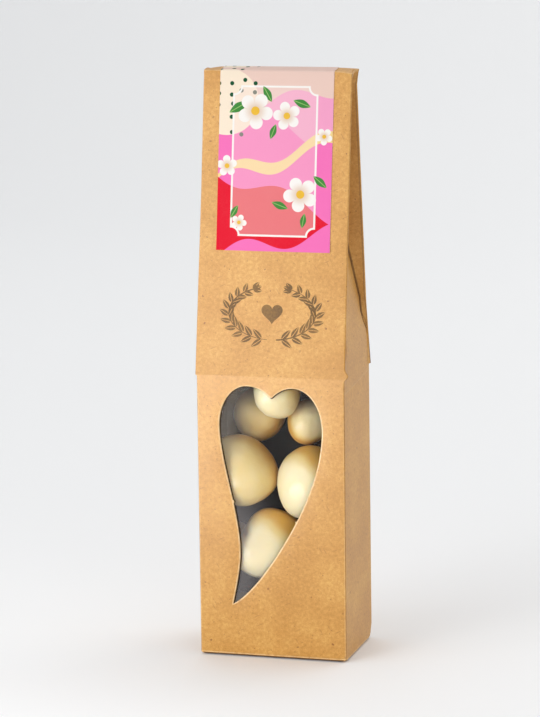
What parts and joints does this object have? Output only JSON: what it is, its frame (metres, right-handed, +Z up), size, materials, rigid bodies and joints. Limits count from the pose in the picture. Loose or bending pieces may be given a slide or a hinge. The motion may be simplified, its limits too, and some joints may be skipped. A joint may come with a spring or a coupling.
{
  "type": "carton of chocolate-coated freeze-dried strawberries",
  "caption": "Tall gable-top kraft board carton with a heart-shaped film window, filled with strawberries coated in white chocolate and sealed by a paper label over the ridge.",
  "frame": {"origin": "on the ground under the middle of the carton's base", "axes": "+Z up, the window faces -Y, +X to the right as seen facing the window"},
  "size_m": [0.0612, 0.04, 0.2333],
  "materials": {
    "kraft_board": "unbleached kraft board, matt, with a small bronze print",
    "clear_film": "thin clear plastic film, glossy",
    "label_paper": "coated paper, printed in pinks, satin",
    "white_chocolate": "white chocolate coat, satin"
  },
  "bodies": {
    "root": {"carton": "kraft_board", "window_film": "clear_film", "label": "label_paper", "coated_strawberry_01": "white_chocolate", "coated_strawberry_02": "white_chocolate", "coated_strawberry_03": "white_chocolate", "coated_strawberry_04": "white_chocolate", "coated_strawberry_05": "white_chocolate", "coated_strawberry_06": "white_chocolate", "coated_strawberry_07": "white_chocolate", "coated_strawberry_08": "white_chocolate", "coated_strawberry_09": "white_chocolate", "coated_strawberry_10": "white_chocolate", "coated_strawberry_11": "white_chocolate", "coated_strawberry_12": "white_chocolate", "coated_strawberry_13": "white_chocolate", "coated_strawberry_14": "white_chocolate", "coated_strawberry_15": "white_chocolate", "coated_strawberry_16": "white_chocolate"}
  },
  "joints": []
}
